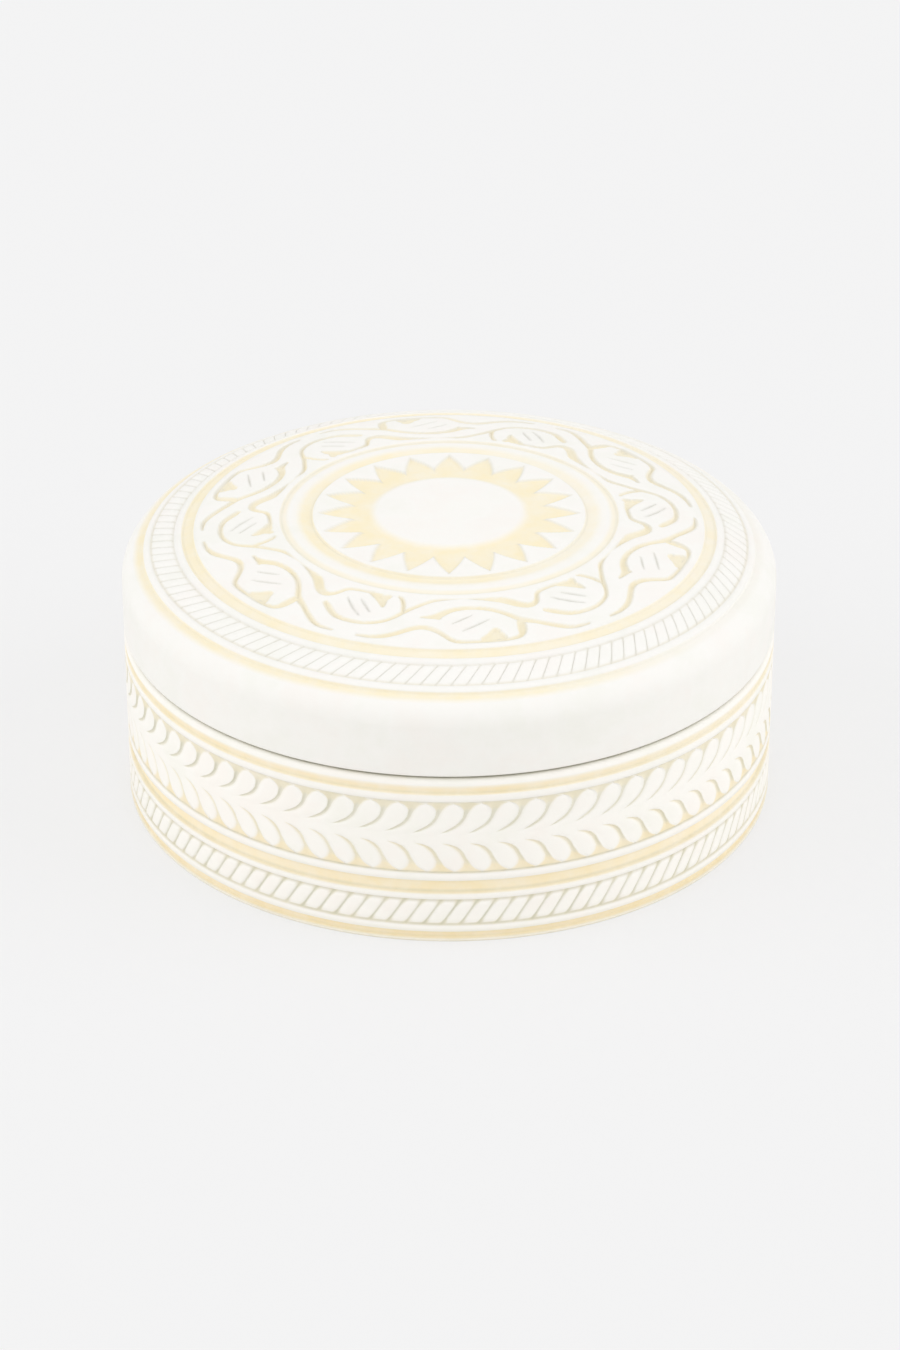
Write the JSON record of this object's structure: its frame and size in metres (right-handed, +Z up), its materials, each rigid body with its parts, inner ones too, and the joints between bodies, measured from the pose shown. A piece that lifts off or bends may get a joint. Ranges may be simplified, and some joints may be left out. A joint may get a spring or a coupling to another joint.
{
  "type": "round keepsake box",
  "caption": "Round keepsake box with a gently domed lift-off lid; grooves, a vine, a sunburst, rope bands and a leaf band are carved into lid and wall.",
  "frame": {"origin": "centre of the base's underside", "axes": "+Z up along the box's axis and the lid's way off; -Y towards the viewer of the picture"},
  "size_m": [0.13, 0.13, 0.0594],
  "materials": {
    "carved_base": "satin",
    "carved_lid": "satin"
  },
  "bodies": {
    "base": {"base": "carved_base"},
    "lid": {"lid": "carved_lid"}
  },
  "joints": [
    {"name": "lid_lift", "type": "slide", "parent": "base", "child": "lid", "axis": [0, 0, 1], "range_m": [0, 0.08]}
  ]
}
